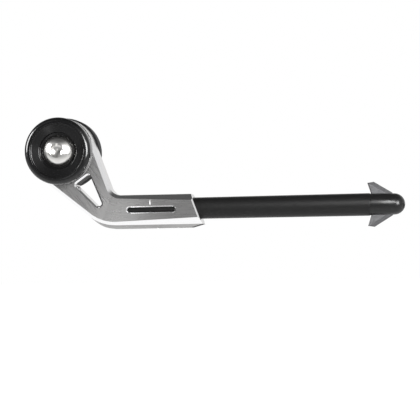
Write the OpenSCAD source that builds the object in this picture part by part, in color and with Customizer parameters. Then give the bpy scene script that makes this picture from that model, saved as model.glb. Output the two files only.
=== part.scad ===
// Brake lever guard for the end of a motorcycle handlebar, in millimetres.
// X runs along the guard tube to its tip, Y into the handlebar and Z up.
// The origin is on the bar screw, in the face that seats on the handlebar.

/* [Spacer] */
// Diameter of the spacer that seats on the handlebar end
spacer_d = 30; // [29:0.2:32]
// Thickness of the spacer
spacer_t = 7; // [5:0.25:10]
// Chamfer on both rims of the spacer
spacer_edge = 0.6; // [0.2:0.1:1]
// Diameter of the spigot that centres the arm on the spacer
spigot_d = 16; // [13:0.5:19]
// Height of the spigot
spigot_t = 4; // [2:0.25:6]

/* [Bar screw] */
// Outer diameter of the screw's thread
thread_d = 8; // [6:0.5:9]
// Radial step from the thread down to the plain shank under the head
shank_step = 0.4; // [0.3:0.05:0.6]
// Length of the thread that goes into the handlebar
thread_len = 18; // [12:1:30]
// Diameter of the button head
head_d = 14; // [12:0.5:14.5]
// Height of the button head
head_h = 4.4; // [3.6:0.1:5]
// Width across flats of the hex socket
socket_af = 5; // [4:0.5:6]
// Depth of the hex socket
socket_depth = 2.6; // [1.5:0.1:3.2]
// Radial room round the shank in every plate it passes
hole_room = 0.2; // [0.2:0.05:0.6]

/* [Front cap] */
// Outer diameter of the cap
cap_d = 28.4; // [26:0.2:30]
// Thickness of the cap
cap_t = 6; // [5:0.25:8]
// Radius of the cap's rounded rim
rim_r = 2.3; // [2:0.1:2.6]
// Width of the flat inside the rim
rim_flat = 0.4; // [0.2:0.1:1]
// Depth of the dish below the rim
dish_depth = 1.4; // [0.5:0.1:1.8]
// Fall of the dish from the rim to the screw well
dish_fall = 0.5; // [0.1:0.1:1]
// Thickness of the floor under the screw head
well_floor = 2.2; // [1.6:0.1:2.8]
// Radial room round the screw head
well_room = 1; // [0.5:0.1:1.2]

/* [Arm] */
// Diameter of the arm's eye
eye_d = 28.6; // [28.2:0.2:32]
// Thickness of the arm at the eye
arm_t = 8.5; // [7:0.25:11]
// Diameter of the raised boss under the cap
boss_d = 28; // [26:0.2:28]
// Height of the boss above the arm's face
boss_h = 1.3; // [0.6:0.1:2]
// Draw-in of the boss from its foot to its top
boss_draft = 0.7; // [0.2:0.1:1]
// Drop from the bar screw to the tube's axis
drop = 25; // [24:0.5:32]
// Slope of the arm's front edge, in degrees
front_slope = 70; // [66:1:74]
// Slope of the arm's rear edge, in degrees
rear_slope = 38.5; // [34:0.5:42]
// Width of the bevel along the arm's edges
bevel = 1.35; // [0.8:0.05:1.6]
// Radius of the inner corner where the arm turns into the holder
bend_r = 5; // [3:0.5:8]
// Radius of the arm's outer corner
heel_r = 18.5; // [14:0.5:22]

/* [Window] */
// Web between the arm's edges and the foot of the window
web = 4.7; // [4:0.1:5.2]
// Angle that the window's front edge stands off the arm's, in degrees
front_splay = 2.5; // [0:0.5:5]
// Angle that the window's rear edge stands off the arm's, in degrees
rear_splay = 6.7; // [3:0.1:8]
// Distance of the window's upper edge from the bar screw
window_reach = 14.3; // [14.2:0.1:16]
// Direction of that distance below the horizontal, in degrees
window_tilt = 55; // [50:1:60]
// Height of the window's foot above the tube's axis
window_foot = 0.85; // [0:0.05:2]
// Radius of the window's corners
window_r = 1.1; // [0.8:0.1:1.4]
// Width of the bevel round the window
window_bevel = 0.7; // [0.3:0.1:0.9]

/* [Holder] */
// Thickness of the holder round the tube
holder_t = 12; // [11.5:0.25:15]
// Height of the holder above the tube's axis
holder_top = 5.95; // [5.6:0.05:7]
// Depth of the holder's front face block below the tube's axis
holder_low = 6.7; // [6.2:0.1:8]
// Depth of the screw pad below that block
pad_h = 1.4; // [0.8:0.1:2]
// Slope of the pad's front flank, in degrees
pad_slope = 72; // [60:1:78]
// Length from the bar screw to the holder's end, on the tube's axis
holder_end = 57.6; // [54:0.2:66]
// Width of the long bevels at the holder's end
end_bevel = 2.7; // [2:0.1:2.8]
// Width of the bevel across the holder's end
end_edge = 0.6; // [0.3:0.1:1]
// Length of the cut across the pad's corner at the holder's end
toe_len = 4.8; // [2:0.2:6]
// Bevel along the holder's back edges
back_bevel = 1.6; // [0.8:0.1:2]
// Length of the slot that shows the tube
slot_len = 20.6; // [12:0.2:20.8]
// Height of the slot
slot_h = 2.2; // [1.6:0.1:3]
// Distance of the slot below the tube's axis
slot_drop = 0.4; // [0:0.1:1]
// Place of the slot's inner end
slot_start = 28.3; // [28:0.1:30]
// Width of the bevel round the slot
slot_bevel = 0.4; // [0.2:0.05:0.5]

/* [Clamp screws] */
// Diameter of the clamp screws
clamp_d = 4; // [3:0.5:5]
// Length of the clamp screws
clamp_len = 3.2; // [2.4:0.1:3.2]
// Width across flats of their hex sockets
clamp_af = 2; // [1.5:0.25:2.5]
// Depth of their hex sockets
clamp_socket = 1.6; // [1:0.1:2]
// Distance of the outer clamp screw from the holder's end
clamp_inset = 7.5; // [7:0.1:8]
// Distance between the two clamp screws
clamp_pitch = 9; // [6.5:0.1:9]

/* [Guard tube] */
// Outer diameter of the tube where it slides in the holder
tube_d = 9.08; // [8:0.02:9.2]
// Outer diameter of the tube at the tip
tube_tip_d = 9.44; // [9.2:0.02:10.4]
// Inner diameter of the tube
tube_bore = 6; // [4.5:0.1:6.4]
// Place of the tube's inner end
tube_start = 27.5; // [27.2:0.1:27.9]
// Place where the tube begins to swell
swell_start = 63; // [61:0.5:90]
// Place of the tube's outer end
tube_end = 130.3; // [110:0.5:150]
// Room between the tube's inner end and the bottom of its bore
tube_rest = 0.5; // [0.3:0.1:1]
// Radial running clearance of the tube
tube_room = 0.06; // [0.03:0.01:0.1]

/* [Tip] */
// Length of the tip beyond the tube
tip_len = 14.6; // [13:0.2:20]
// Radius of the slight crown along the tip
crown_r = 85; // [50:5:120]
// Fall of the crown to the dome at the tip's end
crown_drop = 0.3; // [0.1:0.05:0.4]
// Length of the tip's stem inside the tube
stem_len = 9; // [5:0.5:14]
// Thickness of the fin
fin_t = 3; // [2:0.1:3.6]
// Length of the fin along the tip
fin_len = 8.9; // [7.5:0.1:9]
// Height of the fin's wings above the tip's axis
fin_reach = 9.4; // [7.5:0.1:12]
// Width of each wing at its outer end
wing_w = 2.7; // [2:0.1:3.5]
// Distance that each wing sweeps back
wing_sweep = 1.4; // [0.5:0.1:2]
// Fall of each wing's outer end toward the back
wing_fall = 0.45; // [0:0.05:0.8]
// Width of the bevel along the fin's sloping edges
fin_bevel = 1.6; // [0.8:0.1:1.8]
// Depth of that bevel
fin_bevel_depth = 0.9; // [0.4:0.05:1]
// Width of the small bevel along the fin's back edges
fin_edge = 0.5; // [0.2:0.05:0.6]
// Diameter of the pin that locks the fin
pin_d = 2; // [1.5:0.1:2.5]
// Length of that pin
pin_len = 6.8; // [6:0.1:7]
// Place of the pin along the fin, from the fin's back
pin_place = 4.6; // [3.5:0.1:5.5]

/* [Hidden] */
$fn = 96;
// Radial room of two pieces that stay put in each other
seat_room = 0.02;
// Offset that makes a round meet a straight edge at a true crossing
seam = 0.01;
// Gap between a clamp screw's end and the tube
clamp_gap = 0.1;
// Overshoot of a cutting solid past the face it opens
over = 1;
// Length that is longer than anything it cuts
far = 100;
// Width of the chamfer at the screw's end
screw_point = 0.8;
// Height of the straight band under the button head's dome
head_band = 0.5;
// Slope of the drilled cones at the bottom of sockets and holes, in degrees
drill_slope = 30;
// Gap between the tube's end and the fin in the tip
fin_gap = 0.5;
// Depth of the pin's head below the tip's surface
pin_sink = 0.5;
// Room past the end of the spigot
spigot_end_gap = 0.3;
// Depth to which the bevel cuts reach, past the foot of the screw pad
bevel_reach = end_bevel + pad_h + 2 * over;
// Least wall of the arm past the end of the tube's bore
bore_back_wall = 2.5;

black = "#1b1b1d";
satin_black = "#2a2a2c";
aluminium = "#b9bbbd";
stainless = "#d7d8d9";
fin_grey = "#85868a";

eye_r = eye_d / 2;
plate_back = -spacer_t;
face_y = plate_back - arm_t;
boss_top = face_y - boss_h;
cap_front = boss_top - cap_t;
head_seat = boss_top - well_floor;
hole_r = thread_d / 2 + hole_room;
holder_back = face_y + holder_t;
tube_y = face_y + holder_t / 2;
bore_r = tube_d / 2 + tube_room;
bore_end = tube_start - tube_rest;
top_z = -drop + holder_top;
block_z = -drop - holder_low;
floor_z = block_z - pad_h;
tip_r = tube_tip_d / 2;
stem_r = tube_bore / 2 - seat_room;

// A line is [direction of its outward normal in degrees, distance from the origin].
front_line = [90 - front_slope, eye_r];
rear_line = [270 - rear_slope, eye_r];
top_line = [90, top_z];
floor_line = [270, -floor_z];
end_line = line_through(front_line[0], [holder_end, -drop]);
bend = crossing(front_line, top_line);
front_face_line = inset(front_line, bevel);
rear_face_line = inset(rear_line, bevel);
bevel_run = holder_end - bend.x;
bevel_turn = atan((end_bevel - bevel) / bevel_run);
top_face_line = line_through(90 - bevel_turn, [bend.x, top_z - bevel]);
low_face_line = line_through(270 + bevel_turn, [bend.x, block_z + bevel]);
heel_centre = crossing(inset(rear_face_line, heel_r - bevel), inset(low_face_line, heel_r - bevel));
pad_heel_r = heel_r * 2 / 3;
pad_heel_centre = crossing(inset(rear_line, pad_heel_r), inset(floor_line, pad_heel_r));
bend_centre = crossing(inset(front_line, -bend_r), inset(top_line, -bend_r));
toe_corner = crossing(end_line, [270, -block_z]);

window_foot_line = [270, drop - window_foot];
window_lines = [
    line_through(front_line[0] + front_splay, crossing(inset(front_line, web), window_foot_line)),
    [180 - window_tilt, -window_reach],
    line_through(rear_line[0] - rear_splay, crossing(inset(rear_line, web), window_foot_line)),
    window_foot_line
];
window_centres = [
    for (i = [0:3]) crossing(
        inset(window_lines[i], window_bevel + window_r),
        inset(window_lines[(i + 1) % 4], window_bevel + window_r))
];
slot_z = -drop - slot_drop;
slot_centres = [[slot_start + slot_h / 2, slot_z], [slot_start + slot_len - slot_h / 2, slot_z]];

// Cone that bevels the inner corner, tangent to the bevels on both sides of it.
bend_cone = crossing(inset(front_face_line, -bend_r - bevel), inset(top_face_line, -bend_r - bevel));
ramp_x = bore_end - bore_back_wall - (holder_back - plate_back);

clamp_x = [holder_end - clamp_inset - clamp_pitch, holder_end - clamp_inset];
fin_start = tube_end + fin_gap;
fin_end = fin_start + fin_len;
wing_points = [
    [fin_start, 0], [fin_end, 0], [fin_end, tip_r], [fin_start - wing_sweep + wing_w, fin_reach],
    [fin_start - wing_sweep, fin_reach - wing_fall], [fin_start, tip_r]
];
pin_end = tube_y + tip_r - pin_sink - pin_len;

// Point at a distance along a direction.
function along(angle, distance) = distance * [cos(angle), sin(angle)];

// Line with a given normal through a point.
function line_through(angle, p) = [angle, p.x * cos(angle) + p.y * sin(angle)];

// Line moved inwards.
function inset(line, distance) = [line[0], line[1] - distance];

// Line through two points, with its normal on the right of the way from p to q.
function line_between(p, q) = line_through(atan2(q.y - p.y, q.x - p.x) - 90, p);

// Distance of a point along a line, counted from the line's foot.
function station(line, p) = p.y * cos(line[0]) - p.x * sin(line[0]);

// Point where two lines cross.
function crossing(a, b) =
    [a[1] * sin(b[0]) - b[1] * sin(a[0]), b[1] * cos(a[0]) - a[1] * cos(b[0])] / sin(b[0] - a[0]);

// Solid of a flat outline in X and Z between two depths.
module slab(front, back)
    translate([0, back, 0])
        rotate([90, 0, 0])
            linear_extrude(back - front)
                children();

// Solid of an outline in Y and Z along X.
module x_prism(length)
    rotate([90, 0, 90])
        linear_extrude(length)
            children();

// Solid turned about an axis along Y, built forward from a depth.
module turned_on_bar(y)
    translate([0, y, 0])
        rotate([90, 0, 0])
            rotate_extrude()
                children();

// Solid turned about the tube's axis.
module turned_on_tube()
    translate([0, tube_y, -drop])
        rotate([0, 90, 0])
            rotate_extrude()
                children();

// Hexagonal socket with a drilled bottom, its mouth at the origin and open upwards.
module hex_socket(across_flats, depth) {
    flat_r = across_flats / 2;
    translate([0, 0, -depth])
        rotate([0, 0, 30])
            cylinder(h = depth + over, r = flat_r / cos(30), $fn = 6);
    cone_h = flat_r * tan(drill_slope);
    translate([0, 0, -depth - cone_h])
        cylinder(h = cone_h, r1 = 0, r2 = flat_r);
}

// Bevel cut outside a line of the arm's face, between two stations on it.
module face_bevel(line, start, end) {
    foot = along(line[0], line[1]);
    translate([foot.x, face_y, foot.y])
        rotate([0, -line[0] - 90, 0])
            translate([start, 0, 0])
                x_prism(end - start)
                    polygon([[-over, over], [bevel_reach, -bevel_reach], [-over, -bevel_reach]]);
}

// Cut outside a cone about an axis along Y, whose radius grows with depth.
module outer_cone_cut(centre, face_r, growth, depth, from, to)
    intersection() {
        translate([centre.x, face_y, centre.y])
            rotate([-90, 0, 0])
                rotate_extrude()
                    polygon([
                        [face_r - over * growth, -over],
                        [face_r + depth * growth, depth],
                        [face_r + depth * growth + over, depth],
                        [face_r + depth * growth + over, -over]
                    ]);
        slab(face_y - 2 * over, face_y + depth + over)
            polygon([centre, centre + along(from, far), centre + along(to, far)]);
    }

// Outline with round corners about the given centres, listed anticlockwise.
module rounded_outline(centres, r) {
    last = len(centres);
    if (last > 2) polygon(centres);
    for (i = [0:last - 1]) {
        a = centres[i];
        b = centres[(i + 1) % last];
        out = along(atan2(b.y - a.y, b.x - a.x) - 90, r);
        translate(a) circle(r + seam);
        polygon([a - out / 2, a + out, b + out, b - out / 2]);
    }
}

// Hole through the arm with round corners and a bevelled mouth.
module bevelled_hole(centres, r, width, back) {
    last = len(centres);
    slab(face_y - over, back) rounded_outline(centres, r);
    if (last > 2) slab(face_y - over, face_y + width) polygon(centres);
    for (i = [0:last - 1]) {
        a = centres[i];
        b = centres[(i + 1) % last];
        translate([a.x, face_y - over, a.y])
            rotate([-90, 0, 0])
                cylinder(h = width + over, r1 = r + width + over + seam, r2 = r + seam);
        translate([a.x, face_y, a.y])
            rotate([0, -atan2(b.y - a.y, b.x - a.x), 0])
                x_prism(norm(b - a))
                    polygon([[-over, r / 2], [-over, -r - width - over], [width, -r], [width, r / 2]]);
    }
}

// Part of a sector that lies beyond a circle about its apex.
module beyond_circle(centre, r, from, to)
    difference() {
        polygon([centre, centre + along(from, far), centre + along(to, far)]);
        translate(centre) circle(r + seam);
    }

// Outline of the arm and its holder.
module arm_outline() {
    crown_line = [(front_line[0] + rear_line[0]) / 2, eye_r];
    difference() {
        polygon([
            crossing(front_line, crown_line), crossing(crown_line, rear_line),
            crossing(rear_line, floor_line), [toe_corner.x - toe_len, floor_z], toe_corner,
            crossing(top_line, end_line), bend_centre - along(top_line[0], bend_r), bend_centre,
            bend_centre - along(front_line[0], bend_r)
        ]);
        beyond_circle([0, 0], eye_r, front_line[0], crown_line[0]);
        beyond_circle([0, 0], eye_r, crown_line[0], rear_line[0]);
        beyond_circle(pad_heel_centre, pad_heel_r, rear_line[0], floor_line[0]);
        translate(bend_centre) circle(bend_r + seam);
    }
}

// Bevels round the arm's front face.
module arm_bevels() {
    bend_face_r = bend_r + bevel;
    face_bevel(front_face_line, station(front_face_line, bend_cone), 0);
    face_bevel(top_face_line, -far, station(top_face_line, bend_cone));
    face_bevel(rear_face_line, 0, far);
    face_bevel(inset(end_line, end_edge), -far, far);
    intersection() {
        low_bevel();
        pad_flank();
    }
    translate([bend_cone.x, face_y - over, bend_cone.y])
        rotate([-90, 0, 0])
            cylinder(h = bend_r + over, r1 = bend_face_r + over, r2 = bevel);
}

// Long bevel round the heel and along the low side, which ends where the pad's flank crosses it.
module low_bevel() {
    face_bevel(low_face_line, -far, far);
    outer_cone_cut(heel_centre, heel_r - bevel + seam, 1, bevel_reach, rear_face_line[0], low_face_line[0]);
}

// Steep front flank of the screw pad.
module pad_flank() {
    fall = tan(pad_slope);
    lead = end_bevel + over;
    outer_cone_cut(heel_centre, heel_r - bevel * fall, fall, holder_t, 180, 270);
    translate([bend.x, face_y + bevel, block_z])
        rotate([0, 0, bevel_turn])
            translate([heel_centre.x - bend.x - over, 0, 0])
                x_prism(far)
                    polygon([[-lead, lead * fall], [holder_t, -holder_t * fall], [-lead, -holder_t * fall]]);
}

// Back of the arm: the ramp from the plate to the holder and the holder's back bevels.
module back_cuts() {
    rise = holder_back - plate_back;
    translate([0, 0, -far])
        linear_extrude(far)
            polygon([
                [ramp_x - over, plate_back], [ramp_x, plate_back], [ramp_x + rise + over, holder_back + over],
                [ramp_x - over, holder_back + over]
            ]);
    for (edge = [[top_z, 1], [floor_z, -1]])
        translate([ramp_x, holder_back, edge[0]])
            x_prism(far)
                polygon([
                    [over, edge[1] * over], [over, -edge[1] * (back_bevel + over)],
                    [-back_bevel - over, edge[1] * over]
                ]);
}

module spacer() {
    r = spacer_d / 2;
    color(black)
        turned_on_bar(0)
            polygon([
                [hole_r, 0], [r - spacer_edge, 0], [r, spacer_edge], [r, spacer_t - spacer_edge],
                [r - spacer_edge, spacer_t], [spigot_d / 2, spacer_t],
                [spigot_d / 2, spacer_t + spigot_t], [hole_r, spacer_t + spigot_t]
            ]);
}

module arm() {
    color(aluminium)
        difference() {
            union() {
                difference() {
                    union() {
                        slab(face_y, plate_back) arm_outline();
                        slab(face_y, holder_back)
                            intersection() {
                                arm_outline();
                                translate([ramp_x, -far]) square([far, far]);
                            }
                    }
                    arm_bevels();
                    back_cuts();
                }
                translate([0, face_y, 0])
                    rotate([-90, 0, 0])
                        cylinder(h = arm_t, d = boss_d);
                translate([0, boss_top, 0])
                    rotate([-90, 0, 0])
                        cylinder(h = boss_h, d1 = boss_d - 2 * boss_draft, d2 = boss_d);
            }
            translate([0, boss_top - over, 0])
                rotate([-90, 0, 0])
                    cylinder(h = far, r = hole_r);
            translate([0, plate_back - spigot_t - spigot_end_gap, 0])
                rotate([-90, 0, 0])
                    cylinder(h = far, r = spigot_d / 2 + seat_room);
            bevelled_hole(window_centres, window_r, window_bevel, holder_back + over);
            bevelled_hole(slot_centres, slot_h / 2, slot_bevel, tube_y);
            translate([bore_end, tube_y, -drop])
                rotate([0, 90, 0])
                    cylinder(h = far, r = bore_r);
            for (x = clamp_x)
                translate([x, tube_y, floor_z - over])
                    cylinder(h = -drop - floor_z + over, r = clamp_d / 2 + seat_room);
        }
}

module front_cap() {
    rim_x = cap_d / 2 - rim_r;
    lip_x = rim_x - rim_flat;
    well_r = head_d / 2 + well_room;
    dish_z = cap_t - dish_depth;
    color(black)
        turned_on_bar(boss_top) {
            polygon([
                [hole_r, 0], [rim_x, 0], [rim_x, cap_t], [lip_x, cap_t], [lip_x, dish_z],
                [well_r, dish_z - dish_fall], [well_r, well_floor], [hole_r, well_floor]
            ]);
            intersection() {
                translate([rim_x, cap_t - rim_r]) circle(rim_r);
                translate([rim_x, 0]) square([rim_r + over, cap_t + over]);
            }
        }
}

module bar_screw() {
    head_r = head_d / 2;
    dome_h = head_h - head_band;
    dome_r = (head_r * head_r + dome_h * dome_h) / (2 * dome_h);
    thread_r = thread_d / 2;
    color(stainless) {
        translate([0, head_seat, 0])
            rotate([90, 0, 0])
                difference() {
                    intersection() {
                        cylinder(h = head_h, r = head_r);
                        translate([0, 0, head_h - dome_r]) sphere(dome_r);
                    }
                    translate([0, 0, head_h]) hex_socket(socket_af, socket_depth);
                }
        translate([0, head_seat, 0])
            rotate([-90, 0, 0])
                cylinder(h = -head_seat, r = thread_r - shank_step);
        rotate([-90, 0, 0]) {
            cylinder(h = thread_len - screw_point, r = thread_r);
            translate([0, 0, thread_len - screw_point])
                cylinder(h = screw_point, r1 = thread_r, r2 = thread_r - screw_point);
        }
    }
}

module clamp_screw(x)
    color(satin_black)
        translate([x, tube_y, -drop - tube_d / 2 - clamp_gap])
            rotate([180, 0, 0])
                difference() {
                    cylinder(h = clamp_len, d = clamp_d);
                    translate([0, 0, clamp_len]) hex_socket(clamp_af, clamp_socket);
                }

module guard_tube()
    color(satin_black)
        turned_on_tube()
            polygon([
                [tube_bore / 2, tube_start], [tube_d / 2, tube_start], [tube_d / 2, swell_start],
                [tip_r, tube_end], [tube_bore / 2, tube_end]
            ]);

module tip_cap() {
    dome_r = tip_r - crown_drop;
    dome_x = tube_end + tip_len - dome_r;
    crown_x = dome_x - sqrt(pow(crown_r - dome_r, 2) - pow(crown_r - tip_r, 2));
    meet_x = crown_x + (dome_x - crown_x) * crown_r / (crown_r - dome_r);
    slot_end = fin_start + fin_len + seat_room;
    slot_w = fin_t + 2 * seat_room;
    stem_end = tube_end - stem_len;
    color(black)
        difference() {
            turned_on_tube() {
                translate([0, stem_end]) square([stem_r, stem_len]);
                translate([0, tube_end]) square([tip_r, crown_x - tube_end]);
                intersection() {
                    translate([tip_r - crown_r, crown_x]) circle(crown_r, $fn = 8 * $fn);
                    translate([0, crown_x]) square([tip_r + over, meet_x - crown_x]);
                }
                intersection() {
                    translate([0, dome_x]) circle(dome_r + seam);
                    translate([0, dome_x]) square(tip_r);
                }
            }
            translate([stem_end - over, tube_y - slot_w / 2, -drop - tip_r - over])
                cube([slot_end - stem_end + over, slot_w, 2 * (tip_r + over)]);
            pin_hole();
        }
}

// Outline of one of the fin's wings, with its half of the root.
module wing() polygon(wing_points);

// Bevel cut along one edge of the fin's front face.
module wing_bevel(p, q, width, depth) {
    edge = line_between(p, q);
    foot = along(edge[0], edge[1]);
    translate([foot.x, -fin_t / 2, foot.y])
        rotate([0, -edge[0] - 90, 0])
            translate([station(edge, p), 0, 0])
                x_prism(station(edge, q) - station(edge, p) + over)
                    polygon([[-depth, 2 * width], [2 * depth, -width], [-depth, -width]]);
}

module pin_hole()
    translate([fin_start + pin_place, pin_end, -drop])
        rotate([-90, 0, 0])
            cylinder(h = far, d = pin_d);

module tip_fin()
    color(fin_grey)
        difference() {
            translate([0, tube_y, -drop])
                for (up = [0, 1])
                    mirror([0, 0, up])
                        difference() {
                            slab(-fin_t / 2, fin_t / 2) wing();
                            for (back = [0, 1])
                                mirror([0, back, 0]) {
                                    wing_bevel(wing_points[2], wing_points[3], fin_bevel, fin_bevel_depth);
                                    wing_bevel(wing_points[3], wing_points[4], fin_edge, fin_edge);
                                    wing_bevel(wing_points[4], wing_points[5], fin_edge, fin_edge);
                                }
                        }
            pin_hole();
        }

module fin_pin()
    color(stainless)
        translate([fin_start + pin_place, pin_end, -drop])
            rotate([-90, 0, 0])
                cylinder(h = pin_len, d = pin_d);

spacer();
arm();
front_cap();
bar_screw();
clamp_screw(clamp_x[0]);  // inner_clamp_screw
clamp_screw(clamp_x[1]);  // outer_clamp_screw
guard_tube();
tip_cap();
tip_fin();
fin_pin();
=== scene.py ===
"""Looks of a brake lever guard: finishes, turned and threaded parts, camera and light around its solids.

All lengths are metres in the frame of the solids: X along the guard tube, Y into the handlebar, Z up.
Sizes that are given in millimetres are multiplied by MM where they are used.
"""

from __future__ import annotations

import logging
import math
from dataclasses import dataclass
from enum import Enum

import bmesh
import bpy
from mathutils import Matrix, Vector

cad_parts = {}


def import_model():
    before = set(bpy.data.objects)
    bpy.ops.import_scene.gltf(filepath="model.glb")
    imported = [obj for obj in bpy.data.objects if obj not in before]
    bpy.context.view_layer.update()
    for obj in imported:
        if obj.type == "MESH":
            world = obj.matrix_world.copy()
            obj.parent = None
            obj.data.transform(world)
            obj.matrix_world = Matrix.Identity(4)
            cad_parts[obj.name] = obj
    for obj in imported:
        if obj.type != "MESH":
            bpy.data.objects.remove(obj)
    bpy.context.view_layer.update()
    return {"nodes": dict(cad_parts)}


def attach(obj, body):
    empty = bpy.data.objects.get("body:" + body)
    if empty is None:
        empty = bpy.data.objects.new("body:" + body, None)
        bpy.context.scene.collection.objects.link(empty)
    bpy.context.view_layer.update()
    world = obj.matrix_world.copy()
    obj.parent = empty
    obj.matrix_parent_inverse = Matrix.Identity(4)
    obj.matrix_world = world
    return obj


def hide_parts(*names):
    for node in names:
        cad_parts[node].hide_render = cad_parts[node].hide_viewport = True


LOG = logging.getLogger("lever_guard")
MM = 0.001
# Distance under which two vertices are one
MERGE_STEP = 1e-7
# Y of the arm's front face, of its raised boss and of the screw head's seat, in millimetres
FACE_Y = -15.5
BOSS_Y = -16.8
HEAD_SEAT = -19.0
WHITE = (1.0, 1.0, 1.0, 1.0)
# Stretch of a pattern that its roughness follows
GRAIN_RANGE = (0.2, 0.8)
# Share of each octave of a noise in the next
GRAIN_ROUGHNESS = 0.6
# Radius of the path round the axis along which a turned profile is swept
AXIS_RADIUS = 1e-6
# Steps of the thread's path in a turn
SPIRAL_STEPS = 48
# Length of profile for each step of a rounded corner, in millimetres, and its fewest steps
ROUND_STEP = 0.16
FEWEST_STEPS = 4

Colour = tuple[float, float, float]
Triple = tuple[float, float, float]
# Low and high of a value, and the results at both
Ramp = tuple[float, float, float, float]


class Body(Enum):
    """The record's bodies that the pieces made here ride on."""

    HOLDER = "holder"


class Slot(Enum):
    """The record's material slots of the pieces made here."""

    BLACK = "black_anodised"
    SILVER = "silver_anodised"
    STEEL = "polished_screw"


class Ring(Enum):
    """Shapes of a lofted ring."""

    ROUND = "round"
    HEX = "hex"


class Graph:
    """A node tree under construction."""

    def __init__(self, tree: bpy.types.NodeTree) -> None:
        """Keeps the tree."""
        self.tree = tree

    def feed(self, socket: bpy.types.NodeSocket, value: object) -> None:
        """Links a socket to an input, or sets its constant."""
        if isinstance(value, bpy.types.NodeSocket):
            self.tree.links.new(value, socket)
        else:
            socket.default_value = value

    def add(self, kind: str, *inputs: object, **settings: object) -> bpy.types.Node:
        """Adds a node.

        Args:
            kind: the node's type.
            inputs: values or sockets for its first inputs, with None for one that is left alone.
            settings: properties, or inputs by their names with spaces written as underscores.

        Returns:
            The new node.
        """
        node = self.tree.nodes.new(kind)
        for key, value in settings.items():
            if hasattr(node, key):
                setattr(node, key, value)
            else:
                self.feed(node.inputs[key.replace("_", " ")], value)
        for socket, value in zip(node.inputs, inputs):
            if value is not None:
                self.feed(socket, value)
        return node

    def calc(self, operation: str, *values: object) -> bpy.types.NodeSocket:
        """Gives the result of a Math node."""
        return self.add("ShaderNodeMath", *values, operation=operation).outputs[0]

    def spread(
        self, value: object, low: float, high: float, start: float, end: float
    ) -> bpy.types.NodeSocket:
        """Eases a value from one range into another.

        Args:
            value: the value.
            low: value at which the result is start.
            high: value at which the result is end.
            start: result at and before low.
            end: result at and past high.

        Returns:
            The socket with the result.
        """
        node = self.add("ShaderNodeMapRange", value, low, high, start, end, interpolation_type="SMOOTHSTEP")
        return node.outputs[0]


class Shader(Graph):
    """A material under construction, with a Principled BSDF at its end."""

    def __init__(self, name: str) -> None:
        """Makes the material.

        Args:
            name: name of the material.
        """
        self.material = bpy.data.materials.new(name)
        self.material.use_nodes = True
        super().__init__(self.material.node_tree)
        self.bsdf = self.tree.nodes["Principled BSDF"]

    def surface(self, **values: object) -> None:
        """Sets or links sockets of the Principled BSDF by their names."""
        for key, value in values.items():
            self.feed(self.bsdf.inputs[key.replace("_", " ")], value)

    def grain(self, cells: Triple, detail: float = 2.0, slope: float = 0.0) -> bpy.types.NodeSocket:
        """Gives a noise from 0 to 1 in object coordinates.

        Args:
            cells: cells per metre along each axis.
            detail: octaves of the noise.
            slope: angle in radians by which the noise falls along X.

        Returns:
            The socket with the noise.
        """
        where = self.add("ShaderNodeTexCoord").outputs["Object"]
        level = self.add("ShaderNodeVectorRotate", where, rotation_type="Y_AXIS", Angle=-slope).outputs[0]
        placed = self.add("ShaderNodeMapping", level, Scale=cells).outputs[0]
        noise = self.add(
            "ShaderNodeTexNoise", placed, Scale=1.0, Detail=detail, Roughness=GRAIN_ROUGHNESS
        )
        return noise.outputs[0]

    def turning_marks(self, pitch: float) -> bpy.types.NodeSocket:
        """Gives the fine rings that a lathe leaves round the bar screw's axis.

        Args:
            pitch: distance between rings.

        Returns:
            The socket with the rings' height, from 0 to 1.
        """
        where = self.add("ShaderNodeTexCoord").outputs["Object"]
        flat = self.add("ShaderNodeVectorMath", where, (1.0, 0.0, 1.0), operation="MULTIPLY")
        radius = self.add("ShaderNodeVectorMath", flat.outputs["Vector"], operation="LENGTH")
        rings = self.add(
            "ShaderNodeTexNoise",
            noise_dimensions="1D",
            W=radius.outputs["Value"],
            Scale=1.0 / pitch,
            Detail=1.0,
        )
        return rings.outputs[0]

    def mixed(self, share: bpy.types.NodeSocket, dark: Colour, light: Colour) -> bpy.types.NodeSocket:
        """Mixes two colours.

        Args:
            share: the mixing value, from 0 to 1.
            dark: colour where the value is 0.
            light: colour where the value is 1.

        Returns:
            The socket with the colour.
        """
        mix = self.add("ShaderNodeMix", share, data_type="RGBA")
        colours = [socket for socket in mix.inputs if socket.type == "RGBA"]
        colours[0].default_value = (*dark, 1.0)
        colours[1].default_value = (*light, 1.0)
        return next(socket for socket in mix.outputs if socket.type == "RGBA")

    def relief(self, height: bpy.types.NodeSocket, depth: float) -> bpy.types.NodeSocket:
        """Gives a normal bumped by a 0 to 1 height.

        Args:
            height: the height.
            depth: metres between 0 and 1.

        Returns:
            The socket with the normal.
        """
        return self.add("ShaderNodeBump", Strength=1.0, Distance=depth, Height=height).outputs[0]


@dataclass(frozen=True)
class Finish:
    """A plain finish: its colour range, its gloss and its grain.

    The cells of the grain are counted per metre along each axis.
    """

    name: str
    dark: Colour
    light: Colour
    metallic: float
    roughness: tuple[float, float]
    cells: Triple
    depth: float
    specular: float = 0.5

    def make(self) -> bpy.types.Material:
        """Builds the finish as a material.

        Returns:
            The material.
        """
        shader = Shader(self.name)
        shader.surface(Metallic=self.metallic, Specular_IOR_Level=self.specular)
        marks = self.marks(shader)
        tone = shader.mixed(self.share(shader, marks), self.dark, self.light)
        rough = shader.spread(marks, *GRAIN_RANGE, *self.roughness)
        shader.surface(Base_Color=tone, Roughness=rough, Normal=shader.relief(marks, self.depth))
        return shader.material

    def marks(self, shader: Shader) -> bpy.types.NodeSocket:
        """Gives the pattern of roughness and normal, from 0 to 1."""
        return shader.grain(self.cells)

    def share(self, shader: Shader, marks: bpy.types.NodeSocket) -> bpy.types.NodeSocket:
        """Gives the share of the light colour in the dark one."""
        return shader.grain(self.cells)


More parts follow.
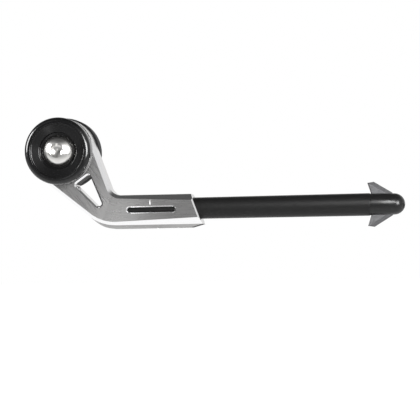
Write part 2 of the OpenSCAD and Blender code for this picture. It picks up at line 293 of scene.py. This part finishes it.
@dataclass(frozen=True)
class TurnedFinish(Finish):
    """A finish with the rings that turning leaves round the bar screw's axis."""

    ring_pitch: float = 0.12 * MM

    def marks(self, shader: Shader) -> bpy.types.NodeSocket:
        """Gives the rings of the turning."""
        return shader.turning_marks(self.ring_pitch)


@dataclass(frozen=True)
class BrushedFinish(Finish):
    """A finish brushed along the arm up to its bend, and along X past it.

    The brushing spreads reflections across itself. The bend line and its blur are in millimetres, the
    arm's slope in degrees, and the drift is the cells per metre of the wide clouds.
    """

    anisotropic: float = 0.7
    detail: float = 3.0
    drift: float = 45.0
    contrast: Ramp = (0.7, 1.3, 0.0, 1.0)
    arm_slope: float = 54.0
    bend_foot: tuple[float, float] = (18.9, -27.3)
    bend_top: tuple[float, float] = (22.5, -18.0)
    bend_blur: float = 0.5

    def marks(self, shader: Shader) -> bpy.types.NodeSocket:
        """Sets the brushing's direction on both sides of the bend and gives its streaks.

        Args:
            shader: the material under construction.

        Returns:
            The socket with the streaks.
        """
        slope = math.radians(self.arm_slope)
        past = self.past_bend(shader)
        sideways = shader.calc("MULTIPLY", shader.calc("SUBTRACT", 1.0, past), math.tan(slope))
        across = shader.add("ShaderNodeCombineXYZ", sideways, 0.0, 1.0).outputs[0]
        shader.surface(Anisotropic=self.anisotropic, Tangent=across)
        slanted = shader.grain(self.cells, self.detail, slope)
        change = shader.calc("SUBTRACT", shader.grain(self.cells, self.detail), slanted)
        return shader.calc("MULTIPLY_ADD", change, past, slanted)

    def share(self, shader: Shader, marks: bpy.types.NodeSocket) -> bpy.types.NodeSocket:
        """Gives the share of the light colour, from the streaks and wide clouds.

        Args:
            shader: the material under construction.
            marks: the streaks.

        Returns:
            The socket with the share.
        """
        clouds = shader.grain((self.drift, self.drift, self.drift), 1.0)
        return shader.spread(shader.calc("ADD", marks, clouds), *self.contrast)

    def past_bend(self, shader: Shader) -> bpy.types.NodeSocket:
        """Gives 0 on the arm's side of the bend line and 1 on the holder's side.

        Args:
            shader: the material under construction.

        Returns:
            The socket with the share.
        """
        foot = Vector((self.bend_foot[0], 0.0, self.bend_foot[1])) * MM
        top = Vector((self.bend_top[0], 0.0, self.bend_top[1])) * MM
        normal = Vector((0.0, 1.0, 0.0)).cross(top - foot).normalized()
        where = shader.add("ShaderNodeTexCoord").outputs["Object"]
        reach = shader.add("ShaderNodeVectorMath", where, tuple(normal), operation="DOT_PRODUCT")
        start = normal.dot(foot)
        blur = self.bend_blur * MM
        return shader.spread(reach.outputs["Value"], start - blur, start + blur, 0.0, 1.0)


SATIN_SILVER = BrushedFinish(
    name="satin_silver",
    dark=(0.54, 0.535, 0.535),
    light=(0.64, 0.635, 0.63),
    metallic=1.0,
    roughness=(0.26, 0.31),
    cells=(110.0, 900.0, 1500.0),
    depth=0.0004 * MM,
)
BRIGHT_CUT = Finish(
    name="bright_cut_silver",
    dark=(0.88, 0.88, 0.885),
    light=(0.95, 0.95, 0.955),
    metallic=1.0,
    roughness=(0.10, 0.16),
    cells=(300.0, 2200.0, 300.0),
    depth=0.0004 * MM,
)
BLACK_ANODISED = TurnedFinish(
    name="black_anodised_turned",
    dark=(0.002, 0.002, 0.0022),
    light=(0.004, 0.004, 0.0042),
    metallic=0.0,
    roughness=(0.15, 0.20),
    cells=(900.0, 900.0, 900.0),
    depth=0.0002 * MM,
)
DULL_BLACK = TurnedFinish(
    name="dull_black_turned",
    dark=(0.005, 0.005, 0.0055),
    light=(0.009, 0.009, 0.0095),
    metallic=0.0,
    roughness=(0.45, 0.60),
    cells=(900.0, 900.0, 900.0),
    depth=0.0006 * MM,
    specular=0.12,
)
POLISHED_STEEL = TurnedFinish(
    name="polished_steel",
    dark=(0.74, 0.73, 0.71),
    light=(0.86, 0.85, 0.83),
    metallic=1.0,
    roughness=(0.16, 0.26),
    cells=(500.0, 500.0, 500.0),
    depth=0.003 * MM,
    ring_pitch=0.5 * MM,
)
BLACK_STEEL = Finish(
    name="blackened_steel",
    dark=(0.03, 0.03, 0.032),
    light=(0.06, 0.06, 0.062),
    metallic=0.8,
    roughness=(0.30, 0.45),
    cells=(1500.0, 1500.0, 1500.0),
    depth=0.003 * MM,
)
MATT_BLACK = Finish(
    name="matt_black_tube",
    dark=(0.003, 0.003, 0.003),
    light=(0.006, 0.006, 0.006),
    metallic=0.0,
    roughness=(0.34, 0.50),
    cells=(1300.0, 1300.0, 1300.0),
    depth=0.010 * MM,
    specular=0.25,
)
GLOSS_BLACK = Finish(
    name="gloss_black_tip",
    dark=(0.005, 0.005, 0.005),
    light=(0.007, 0.007, 0.007),
    metallic=0.0,
    roughness=(0.23, 0.27),
    cells=(300.0, 300.0, 300.0),
    depth=0.0003 * MM,
    specular=0.35,
)
GREY_FIN = Finish(
    name="grey_anodised_fin",
    dark=(0.06, 0.06, 0.063),
    light=(0.10, 0.10, 0.103),
    metallic=0.5,
    roughness=(0.34, 0.46),
    cells=(1400.0, 1400.0, 1400.0),
    depth=0.003 * MM,
)
MARK_WHITE = Finish(
    name="index_mark_white",
    dark=(0.42, 0.42, 0.42),
    light=(0.50, 0.50, 0.50),
    metallic=0.0,
    roughness=(0.5, 0.6),
    cells=(3000.0, 3000.0, 3000.0),
    depth=0.0005 * MM,
)


def keep(piece: bpy.types.Object, body: Body, slot: Slot, *nodes: str) -> None:
    """Hands a finished piece to the frame.

    Args:
        piece: the piece, with its place in its mesh.
        body: the body that it rides on.
        slot: the record's slot of its finish; not used.
        nodes: the solids that it replaces.
    """
    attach(piece, body.value)
    if nodes:
        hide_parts(*nodes)
    LOG.info("%s rides on %s, %d faces", piece.name, body.value, len(piece.data.polygons))


def linked(name: str, mesh: bpy.types.Mesh) -> bpy.types.Object:
    """Puts a mesh in the scene as an object at the origin."""
    piece = bpy.data.objects.new(name, mesh)
    bpy.context.scene.collection.objects.link(piece)
    return piece


def along_screw(start: float) -> Matrix:
    """Gives the move that stands a shape built along Z on the bar screw's axis, at start in millimetres."""
    return Matrix.Translation((0.0, start * MM, 0.0)) @ Matrix.Rotation(-math.pi / 2.0, 4, "X")


def cleaned(mesh: bpy.types.Mesh, sharp: float) -> None:
    """Merges doubles, points the faces outwards and shades the mesh smooth but for its sharp edges.

    Args:
        mesh: the mesh.
        sharp: angle in degrees above which an edge stays sharp.
    """
    work = bmesh.new()
    work.from_mesh(mesh)
    bmesh.ops.remove_doubles(work, verts=work.verts, dist=MERGE_STEP)
    bmesh.ops.recalc_face_normals(work, faces=work.faces)
    work.to_mesh(mesh)
    work.free()
    mesh.shade_smooth()
    mesh.set_sharp_from_angle(angle=math.radians(sharp))
    mesh.update()


def merged_copy(solid: bpy.types.Object, name: str) -> bpy.types.Mesh:
    """Copies a solid's mesh, merges its doubles and keeps its exact corner normals.

    Args:
        solid: the solid's object.
        name: name of the copy.

    Returns:
        The copy.
    """
    source = solid.data
    found: dict[Triple, int] = {}
    spots = []
    for vertex in source.vertices:
        key = tuple(round(value / MERGE_STEP) for value in vertex.co)
        spots.append(found.setdefault(key, len(found)))
    points = [tuple(value * MERGE_STEP for value in key) for key in found]
    faces = []
    normals = []
    for face in source.polygons:
        corners = [spots[i] for i in face.vertices]
        if len(set(corners)) == len(corners):
            faces.append(corners)
            normals += [source.corner_normals[i].vector.copy() for i in face.loop_indices]
    mesh = bpy.data.meshes.new(name)
    mesh.from_pydata(points, [], faces)
    mesh.shade_smooth()
    mesh.normals_split_custom_set(normals)
    open_edges = 2 * len(mesh.edges) - len(mesh.loops)
    LOG.info("%s has %d faces and %d open edges", name, len(mesh.polygons), open_edges)
    return mesh


def apply_tree(piece: bpy.types.Object, tree: bpy.types.NodeTree, inputs: dict[str, object]) -> None:
    """Runs a Geometry Nodes tree on a piece and keeps the result as plain mesh.

    Args:
        piece: the piece.
        tree: the tree.
        inputs: its inputs by name.
    """
    modifier = piece.modifiers.new(tree.name, "NODES")
    modifier.node_group = tree
    for item in tree.interface.items_tree:
        if item.item_type == "SOCKET" and item.in_out == "INPUT" and item.name in inputs:
            modifier[item.identifier] = inputs[item.name]
    graph = bpy.context.evaluated_depsgraph_get()
    graph.update()
    mesh = bpy.data.meshes.new_from_object(piece.evaluated_get(graph))
    mesh.name = piece.name
    piece.modifiers.clear()
    piece.data = mesh


class ShapeTree(Graph):
    """A Geometry Nodes tree that makes a shape from a profile."""

    def __init__(self, name: str, sizes: dict[str, str]) -> None:
        """Makes the tree with its inputs and its one output.

        Args:
            name: name of the tree.
            sizes: type of each named input between the geometry and the material.
        """
        super().__init__(bpy.data.node_groups.new(name, "GeometryNodeTree"))
        face = self.tree.interface
        face.new_socket("Geometry", in_out="INPUT", socket_type="NodeSocketGeometry")
        for label, kind in sizes.items():
            face.new_socket(label, in_out="INPUT", socket_type=kind)
        face.new_socket("Material", in_out="INPUT", socket_type="NodeSocketMaterial")
        face.new_socket("Geometry", in_out="OUTPUT", socket_type="NodeSocketGeometry")
        self.given = self.add("NodeGroupInput").outputs

    def sweep(self, path: bpy.types.NodeSocket, caps: bool) -> bpy.types.NodeTree:
        """Sweeps the profile along a path and ends the tree.

        Args:
            path: the path.
            caps: whether the ends are closed.

        Returns:
            The tree.
        """
        profile = self.add("GeometryNodeMeshToCurve", Mesh=self.given["Geometry"]).outputs[0]
        swept = self.add("GeometryNodeCurveToMesh", Curve=path, Profile_Curve=profile, Fill_Caps=caps)
        real = self.add("GeometryNodeRealizeInstances", Geometry=swept.outputs[0]).outputs[0]
        dressed = self.add("GeometryNodeSetMaterial", Geometry=real, Material=self.given["Material"])
        self.add("NodeGroupOutput", dressed.outputs[0])
        return self.tree


def turning_tree() -> bpy.types.NodeTree:
    """Builds the tree that turns a closed profile of radius and depth round an axis.

    Returns:
        The tree.
    """
    tree = ShapeTree("turning", {"Segments": "NodeSocketInt"})
    steps = tree.given["Segments"]
    ring = tree.add("GeometryNodeCurvePrimitiveCircle", Radius=AXIS_RADIUS, Resolution=steps)
    upright = tree.add("GeometryNodeSetCurveNormal", mode="Z_UP", Curve=ring.outputs[0])
    return tree.sweep(upright.outputs[0], False)


def thread_tree() -> bpy.types.NodeTree:
    """Builds the tree that winds a screw thread up an axis, with a run-out of one turn at each end.

    Returns:
        The tree.
    """
    number = "NodeSocketFloat"
    tree = ShapeTree("thread", {"Turns": number, "Length": number, "Root": number})
    given = tree.given
    spiral = tree.add(
        "GeometryNodeCurveSpiral",
        Resolution=SPIRAL_STEPS,
        Rotations=given["Turns"],
        Start_Radius=given["Root"],
        End_Radius=given["Root"],
        Height=given["Length"],
    )
    upright = tree.add("GeometryNodeSetCurveNormal", mode="Z_UP", Curve=spiral.outputs[0])
    share = tree.add("GeometryNodeSplineParameter").outputs["Factor"]
    nearer = tree.calc("MINIMUM", share, tree.calc("SUBTRACT", 1.0, share))
    run_out = tree.calc("MINIMUM", tree.calc("MULTIPLY", nearer, given["Turns"]), 1.0)
    tapered = tree.add("GeometryNodeSetCurveRadius", Curve=upright.outputs[0], Radius=run_out)
    return tree.sweep(tapered.outputs[0], True)


@dataclass(frozen=True)
class Corner:
    """A corner of a turned profile, in millimetres: radius, distance forward and rounding."""

    radius: float
    forward: float
    rounding: float = 0.0

    def place(self) -> Vector:
        """Gives the corner as a point of the profile."""
        return Vector((self.radius * MM, self.forward * MM, 0.0))

    def arc(self, before: Corner, after: Corner) -> list[Vector]:
        """Rounds the corner between its two neighbours.

        Args:
            before: the corner before.
            after: the corner after.

        Returns:
            The points of the round, or the corner itself where it stays sharp.
        """
        here = self.place()
        if self.rounding <= 0.0:
            return [here]
        to_before = (before.place() - here).normalized()
        to_after = (after.place() - here).normalized()
        half = to_before.angle(to_after) / 2.0
        size = self.rounding * MM
        middle = here + (to_before + to_after).normalized() * (size / math.sin(half))
        start = here + to_before * (size / math.tan(half)) - middle
        end = here + to_after * (size / math.tan(half)) - middle
        sweep = start.angle(end)
        steps = max(FEWEST_STEPS, round(self.rounding / ROUND_STEP))
        points = []
        for step in range(steps + 1):
            share = step / steps
            blend = start * math.sin((1.0 - share) * sweep) + end * math.sin(share * sweep)
            points.append(middle + blend / math.sin(sweep))
        return points


@dataclass(frozen=True)
class TurnedPart:
    """A part turned round the bar screw's axis from a closed profile."""

    name: str
    seat: float
    profile: tuple[Corner, ...]
    segments: int = 180
    sharp: float = 32.0

    def make(self, material: bpy.types.Material) -> bpy.types.Object:
        """Turns the profile and settles it as plain mesh.

        Args:
            material: its finish.

        Returns:
            The piece.
        """
        count = len(self.profile)
        points: list[Vector] = []
        for i, corner in enumerate(self.profile):
            points.extend(corner.arc(self.profile[i - 1], self.profile[(i + 1) % count]))
        mesh = bpy.data.meshes.new(self.name)
        edges = [(i, (i + 1) % len(points)) for i in range(len(points))]
        mesh.from_pydata(points, edges, [])
        piece = linked(self.name, mesh)
        apply_tree(piece, turning_tree(), {"Segments": self.segments, "Material": material})
        piece.data.transform(along_screw(self.seat))
        cleaned(piece.data, self.sharp)
        return piece


@dataclass(frozen=True)
class SocketScrew:
    """The button-head bar screw: domed head with a hex socket, plain shank and wound thread.

    The sizes are in millimetres, and the sharp angles in degrees.
    """

    seat: float = HEAD_SEAT
    head_radius: float = 7.0
    head_height: float = 4.4
    head_edge: float = 0.12
    band: float = 0.5
    band_ease: tuple[float, float] = (0.02, 0.04)
    socket_flat: float = 2.5
    socket_floor: float = 1.8
    socket_floor_share: float = 0.97
    socket_lip: float = 0.16
    shank_radius: float = 3.6
    shank_fillet: float = 0.2
    shank_end: float = -0.3
    shank_taper: float = 0.3
    core_radius: float = 3.32
    crest_radius: float = 4.0
    thread_start: float = -0.1
    thread_end: float = 18.0
    thread_sink: float = 0.04
    root_share: float = 0.45
    crest_share: float = 0.07
    point: float = 0.8
    point_slope: float = 1.6
    pitch: float = 1.25
    segments: int = 96
    dome_rings: int = 16
    body_sharp: float = 30.0
    thread_sharp: float = 25.0

    def dome_height(self, radius: float) -> float:
        """Gives the dome's height over the head's seat at a radius."""
        rise = self.head_height - self.band
        dome = (self.head_radius**2 + rise**2) / (2.0 * rise)
        return self.head_height - dome + math.sqrt(dome**2 - radius**2)

    def rings(self) -> list[tuple[Ring, float, float]]:
        """Lists the rings of the head and the shank, from the socket's bottom to the screw's point.

        Returns:
            The shape, radius and Y of each ring, in millimetres.
        """
        mouth = self.socket_flat / math.cos(math.pi / 6.0) + self.socket_lip
        floor = self.seat - self.socket_floor
        mouth_y = self.seat - self.dome_height(mouth)
        found = [
            (Ring.ROUND, self.socket_flat * self.socket_floor_share, floor),
            (Ring.HEX, self.socket_flat, floor),
            (Ring.HEX, self.socket_flat, mouth_y + self.socket_lip),
            (Ring.ROUND, mouth, mouth_y),
        ]
        edge = self.head_radius - self.head_edge
        for i in range(1, self.dome_rings + 1):
            radius = mouth + (edge - mouth) * i / self.dome_rings
            found.append((Ring.ROUND, radius, self.seat - self.dome_height(radius)))
        band_y = self.seat - self.band
        found += [
            (Ring.ROUND, self.head_radius - self.band_ease[0], band_y + self.band_ease[1]),
            (Ring.ROUND, self.head_radius, band_y + self.head_edge),
            (Ring.ROUND, self.head_radius, self.seat - self.head_edge),
            (Ring.ROUND, edge, self.seat),
            (Ring.ROUND, self.shank_radius + self.shank_fillet, self.seat),
            (Ring.ROUND, self.shank_radius, self.seat + self.shank_fillet),
            (Ring.ROUND, self.shank_radius, self.shank_end - self.shank_taper),
            (Ring.ROUND, self.core_radius, self.shank_end),
            (Ring.ROUND, self.core_radius, self.thread_end - self.point),
            (Ring.ROUND, self.crest_radius - self.point_slope * self.point, self.thread_end),
        ]
        return found

    def ring_points(self, shape: Ring, radius: float, y: float) -> list[Vector]:
        """Gives the points of one ring.

        Args:
            shape: round, or a hexagon by its distance to the flats.
            radius: its radius.
            y: its place on the axis.

        Returns:
            The points, in metres.
        """
        points = []
        sixth = math.pi / 3.0
        for i in range(self.segments):
            angle = 2.0 * math.pi * i / self.segments
            reach = radius
            if shape is Ring.HEX:
                reach = radius / math.cos((angle + sixth / 2.0) % sixth - sixth / 2.0)
            points.append(Vector((reach * math.cos(angle), y, reach * math.sin(angle))) * MM)
        return points

    def body(self, steel: bpy.types.Material) -> bpy.types.Object:
        """Lofts the head, the shank and the thread's core as one closed shell.

        Args:
            steel: its finish.

        Returns:
            The piece.
        """
        work = bmesh.new()
        deep = self.seat - self.socket_floor + self.socket_flat * math.tan(math.pi / 6.0)
        loops = []
        for shape, radius, y in self.rings():
            loops.append([work.verts.new(p) for p in self.ring_points(shape, radius, y)])
        for inner, outer in zip(loops, loops[1:]):
            for i in range(self.segments):
                j = (i + 1) % self.segments
                work.faces.new((inner[i], inner[j], outer[j], outer[i]))
        for loop, y in ((loops[0], deep), (loops[-1], self.thread_end)):
            pole = work.verts.new((0.0, y * MM, 0.0))
            for i in range(self.segments):
                work.faces.new((loop[i], loop[(i + 1) % self.segments], pole))
        mesh = bpy.data.meshes.new("bar_screw_body")
        work.to_mesh(mesh)
        work.free()
        mesh.materials.append(steel)
        cleaned(mesh, self.body_sharp)
        return linked("bar_screw_body", mesh)

    def thread(self, steel: bpy.types.Material) -> bpy.types.Object:
        """Winds the thread.

        Args:
            steel: its finish.

        Returns:
            The piece.
        """
        foot = self.core_radius - self.thread_sink
        half = self.pitch * self.root_share * MM
        crest = self.pitch * self.crest_share * MM
        depth = (self.crest_radius - foot) * MM
        points = [(0.0, -half, 0.0), (depth, -crest, 0.0), (depth, crest, 0.0), (0.0, half, 0.0)]
        mesh = bpy.data.meshes.new("bar_screw_thread")
        mesh.from_pydata(points, [(0, 1), (1, 2), (2, 3), (3, 0)], [])
        piece = linked("bar_screw_thread", mesh)
        length = self.thread_end - self.point / 2.0 - self.thread_start
        inputs = {"Turns": length / self.pitch, "Length": length * MM, "Root": foot * MM, "Material": steel}
        apply_tree(piece, thread_tree(), inputs)
        piece.data.transform(along_screw(self.thread_start))
        cleaned(piece.data, self.thread_sharp)
        return piece

    def build(self, steel: bpy.types.Material) -> None:
        """Builds the screw in place of its solid.

        Args:
            steel: its finish.
        """
        keep(self.body(steel), Body.HOLDER, Slot.STEEL, "bar_screw")
        keep(self.thread(steel), Body.HOLDER, Slot.STEEL, "bar_screw")


@dataclass(frozen=True)
class MountingStack:
    """The turned spacer and cap on the bar screw."""

    spacer: TurnedPart = TurnedPart(
        "bar_spacer",
        0.0,
        (
            Corner(4.2, 0.0, 0.15),
            Corner(14.4, 0.0, 0.12),
            Corner(15.0, 0.6, 0.12),
            Corner(15.0, 6.4, 0.12),
            Corner(14.4, 7.0, 0.12),
            Corner(8.0, 7.0),
            Corner(8.0, 11.0, 0.25),
            Corner(4.2, 11.0, 0.15),
        ),
    )
    cap: TurnedPart = TurnedPart(
        "end_cap",
        BOSS_Y,
        (
            Corner(4.2, 0.0, 0.1),
            Corner(14.2, 0.0, 0.25),
            Corner(14.2, 6.0, 2.3),
            Corner(11.5, 6.0, 0.2),
            Corner(11.5, 4.6, 0.4),
            Corner(8.0, 4.1, 0.25),
            Corner(8.0, 2.2, 0.3),
            Corner(4.2, 2.2, 0.1),
        ),
    )

    def build(self, dull: bpy.types.Material, shiny: bpy.types.Material) -> None:
        """Builds both parts in place of their solids.

        Args:
            dull: the spacer's finish.
            shiny: the cap's finish.
        """
        keep(self.spacer.make(dull), Body.HOLDER, Slot.BLACK, "spacer")
        keep(self.cap.make(shiny), Body.HOLDER, Slot.BLACK, "front_cap")


@dataclass(frozen=True)
class MachinedArm:
    """The dog-leg arm with its satin faces, bright-cut bevels and index mark.

    The sizes are in millimetres. A face is bright where its normal's Y lies between two of the limits.
    """

    mark_x: float = 38.3
    mark_top: float = -21.4
    mark_foot: float = -23.3
    mark_width: float = 0.42
    mark_height: float = 0.02
    mark_edge: float = 0.004
    boss_room: float = 0.001
    flattest_cut: float = -0.90
    steepest_cut: float = -0.60
    steepest_draft: float = -0.30

    def build(self, solid: bpy.types.Object, satin: bpy.types.Material, bright: bpy.types.Material) -> None:
        """Builds the arm from a copy of its solid, with bright bevels.

        Args:
            solid: the arm's solid.
            satin: finish of the faces and walls.
            bright: finish of the bevels cut after anodising.
        """
        mesh = merged_copy(solid, "machined_arm")
        mesh.materials.append(satin)
        mesh.materials.append(bright)
        for face in mesh.polygons:
            on_boss = face.center.y < (FACE_Y - self.boss_room) * MM
            limit = self.steepest_draft if on_boss else self.steepest_cut
            face.material_index = int(self.flattest_cut < face.normal.y < limit)
        keep(linked("machined_arm", mesh), Body.HOLDER, Slot.SILVER, "arm")

    def mark(self, white: bpy.types.Material) -> None:
        """Builds the plain index mark by the slot.

        Args:
            white: its finish.
        """
        work = bmesh.new()
        bmesh.ops.create_cube(work, size=1.0)
        size = Vector((self.mark_width, self.mark_height, self.mark_top - self.mark_foot)) * MM
        middle = Vector((self.mark_x, FACE_Y, (self.mark_top + self.mark_foot) / 2.0)) * MM
        place = Matrix.Translation(middle) @ Matrix.Diagonal((*size, 1.0))
        bmesh.ops.transform(work, matrix=place, verts=work.verts)
        edge = self.mark_edge * MM
        bmesh.ops.bevel(work, geom=list(work.edges), offset=edge, segments=1, affect="EDGES")
        mesh = bpy.data.meshes.new("index_mark")
        work.to_mesh(mesh)
        work.free()
        mesh.materials.append(white)
        keep(linked("index_mark", mesh), Body.HOLDER, Slot.SILVER)


@dataclass(frozen=True)
class SoftBox:
    """A lamp with a flat glowing face."""

    name: str
    place: Triple
    width: float
    height: float
    radiance: float

    def make(self, target: Vector) -> None:
        """Hangs the lamp.

        Args:
            target: the point that it faces.
        """
        data = bpy.data.lights.new(self.name, "AREA")
        data.shape = "RECTANGLE"
        data.size = self.width
        data.size_y = self.height
        data.energy = self.radiance * math.pi * self.width * self.height
        lamp = bpy.data.objects.new(self.name, data)
        bpy.context.scene.collection.objects.link(lamp)
        lamp.location = self.place
        lamp.rotation_mode = "QUATERNION"
        lamp.rotation_quaternion = (Vector(self.place) - target).to_track_quat("Z", "Y")
        lamp.visible_camera = False


@dataclass(frozen=True)
class Studio:
    """Floor, background, lamps and camera.

    The floor's ramps follow Y, and dim what glossy surfaces see of it in front of and behind the guard.
    The room's ramps follow the direction's X, Y or Z, and dim what glossy surfaces see of the room.
    The camera's yaw, pitch and roll are in degrees.
    """

    centre: Triple = (0.060, -0.010, -0.020)
    floor_z: float = -0.120
    floor_half: float = 6.0
    floor_base: float = 0.9
    floor_roughness: float = 0.9
    floor_glow: float = 0.8
    floor_front: Ramp = (-0.22, -0.06, 0.35, 1.05)
    floor_behind: Ramp = (0.12, 0.40, 1.0, 0.04)
    soft_light: float = 0.5
    ceiling: Ramp = (0.40, 0.90, 1.0, 0.09)
    front: Ramp = (-0.50, -0.92, 0.0, 1.0)
    front_left: Ramp = (-0.45, 0.10, 0.02, 0.30)
    front_right: Ramp = (0.0, 0.30, 0.0, 0.45)
    front_above: Ramp = (0.10, 0.60, 1.0, 0.45)
    left_card: Ramp = (-0.80, -0.35, 0.15, 1.0)
    right_card: Ramp = (0.70, 0.92, 1.0, 0.75)
    focal_px: float = 1600.0
    frame_px: float = 420.0
    sensor_mm: float = 36.0
    clip: tuple[float, float] = (0.01, 50.0)
    camera_at: Triple = (0.1517, -0.6799, -0.0493)
    yaw: float = 7.543
    pitch: float = 1.999
    roll: float = -0.959
    lamps: tuple[SoftBox, ...] = (
        SoftBox("right_box", (0.500, -0.500, 0.075), 0.30, 0.30, 20.0),
        SoftBox("left_box", (-0.600, -0.300, 0.215), 0.25, 0.35, 25.0),
        SoftBox("tip_box", (0.168, -0.290, 0.085), 0.03, 0.13, 42.0),
        SoftBox("bend_box", (-0.022, -0.258, -0.045), 0.02, 0.05, 2.6),
    )

    def build(self) -> None:
        """Builds the whole studio."""
        for lamp in self.lamps:
            lamp.make(Vector(self.centre))
        self.floor()
        self.background()
        self.camera()
        bpy.context.scene.view_settings.view_transform = "Standard"

    def floor(self) -> None:
        """Lays the pale floor: white to the camera, and dimmed at the front and the back to gloss."""
        mesh = bpy.data.meshes.new("floor")
        half = self.floor_half
        corners = [(-half, -half), (half, -half), (half, half), (-half, half)]
        mesh.from_pydata([(x, y, self.floor_z) for x, y in corners], [], [(0, 1, 2, 3)])
        shader = Shader("pale_floor")
        path = shader.add("ShaderNodeLightPath").outputs
        shader.surface(
            Base_Color=(self.floor_base, self.floor_base, self.floor_base, 1.0),
            Roughness=self.floor_roughness,
            Specular_IOR_Level=0.0,
            Emission_Color=WHITE,
            Emission_Strength=shader.calc("MULTIPLY", path["Is Camera Ray"], self.floor_glow),
        )
        where = shader.add("ShaderNodeTexCoord").outputs["Object"]
        depth = shader.add("ShaderNodeSeparateXYZ", where).outputs["Y"]
        front = shader.spread(depth, *self.floor_front)
        behind = shader.spread(depth, *self.floor_behind)
        glow = shader.calc("MULTIPLY", front, behind)
        mirrored = shader.add("ShaderNodeEmission", Strength=glow).outputs[0]
        both = shader.add("ShaderNodeMixShader", path["Is Glossy Ray"], shader.bsdf.outputs[0], mirrored)
        shader.feed(shader.tree.nodes["Material Output"].inputs["Surface"], both.outputs[0])
        mesh.materials.append(shader.material)
        linked("floor", mesh)

    def background(self) -> None:
        """Makes the surrounding light: white to the camera, soft to matt faces, a dimmed room to gloss."""
        world = bpy.data.worlds.new("studio")
        bpy.context.scene.world = world
        world.use_nodes = True
        world.node_tree.nodes.clear()
        sky = Graph(world.node_tree)
        where = sky.add("ShaderNodeTexCoord").outputs["Generated"]
        x, y, z = sky.add("ShaderNodeSeparateXYZ", where).outputs
        across = sky.calc("ADD", sky.spread(x, *self.front_left), sky.spread(x, *self.front_right))
        ahead = sky.calc("MULTIPLY", across, sky.spread(z, *self.front_above))
        darker = sky.calc("SUBTRACT", ahead, 1.0)
        wall = sky.calc("MULTIPLY_ADD", darker, sky.spread(y, *self.front), 1.0)
        cards = sky.calc("MULTIPLY", sky.spread(x, *self.left_card), sky.spread(x, *self.right_card))
        around = sky.calc("MULTIPLY", wall, cards)
        strength = sky.calc("MULTIPLY", around, sky.spread(z, *self.ceiling))
        room = sky.add("ShaderNodeBackground", Color=WHITE, Strength=strength)
        soft = sky.add("ShaderNodeBackground", Color=WHITE, Strength=self.soft_light)
        white = sky.add("ShaderNodeBackground", Color=WHITE, Strength=1.0)
        path = sky.add("ShaderNodeLightPath").outputs
        shiny = sky.add("ShaderNodeMixShader", path["Is Glossy Ray"], soft.outputs[0], room.outputs[0])
        seen = sky.add("ShaderNodeMixShader", path["Is Camera Ray"], shiny.outputs[0], white.outputs[0])
        sky.add("ShaderNodeOutputWorld", Surface=seen.outputs[0])

    def camera(self) -> None:
        """Places the camera where the photograph was taken."""
        data = bpy.data.cameras.new("camera")
        data.sensor_width = self.sensor_mm
        data.lens = self.focal_px / self.frame_px * self.sensor_mm
        data.clip_start, data.clip_end = self.clip
        yaw, pitch, roll = (math.radians(a) for a in (self.yaw, self.pitch, self.roll))
        level = Vector((math.cos(yaw), math.sin(yaw), 0.0))
        reach = math.cos(pitch)
        ahead = Vector((-math.sin(yaw) * reach, math.cos(yaw) * reach, math.sin(pitch)))
        above = level.cross(ahead)
        right = level * math.cos(roll) + above * math.sin(roll)
        up = above * math.cos(roll) - level * math.sin(roll)
        camera = bpy.data.objects.new("camera", data)
        bpy.context.scene.collection.objects.link(camera)
        turn = Matrix((right, up, -ahead)).transposed()
        camera.matrix_world = Matrix.Translation(self.camera_at) @ turn.to_4x4()
        bpy.context.scene.camera = camera


def dress(node: bpy.types.Object, material: bpy.types.Material) -> None:
    """Gives a carried-over solid its finish.

    Args:
        node: the solid's object.
        material: its finish.
    """
    node.data.materials.clear()
    node.data.materials.append(material)
    LOG.info("%s is dressed in %s", node.name, material.name)


def main() -> None:
    """Builds the looks around the frame."""
    logging.basicConfig(level=logging.INFO, format="%(message)s")
    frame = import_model()
    nodes = frame["nodes"]
    steel = POLISHED_STEEL.make()
    dark_steel = BLACK_STEEL.make()
    dress(nodes["fin_pin"], steel)
    dress(nodes["inner_clamp_screw"], dark_steel)
    dress(nodes["outer_clamp_screw"], dark_steel)
    dress(nodes["guard_tube"], MATT_BLACK.make())
    dress(nodes["tip_cap"], GLOSS_BLACK.make())
    dress(nodes["tip_fin"], GREY_FIN.make())
    MountingStack().build(DULL_BLACK.make(), BLACK_ANODISED.make())
    SocketScrew().build(steel)
    arm = MachinedArm()
    arm.build(nodes["arm"], SATIN_SILVER.make(), BRIGHT_CUT.make())
    arm.mark(MARK_WHITE.make())
    Studio().build()


if __name__ == "__main__":
    main()
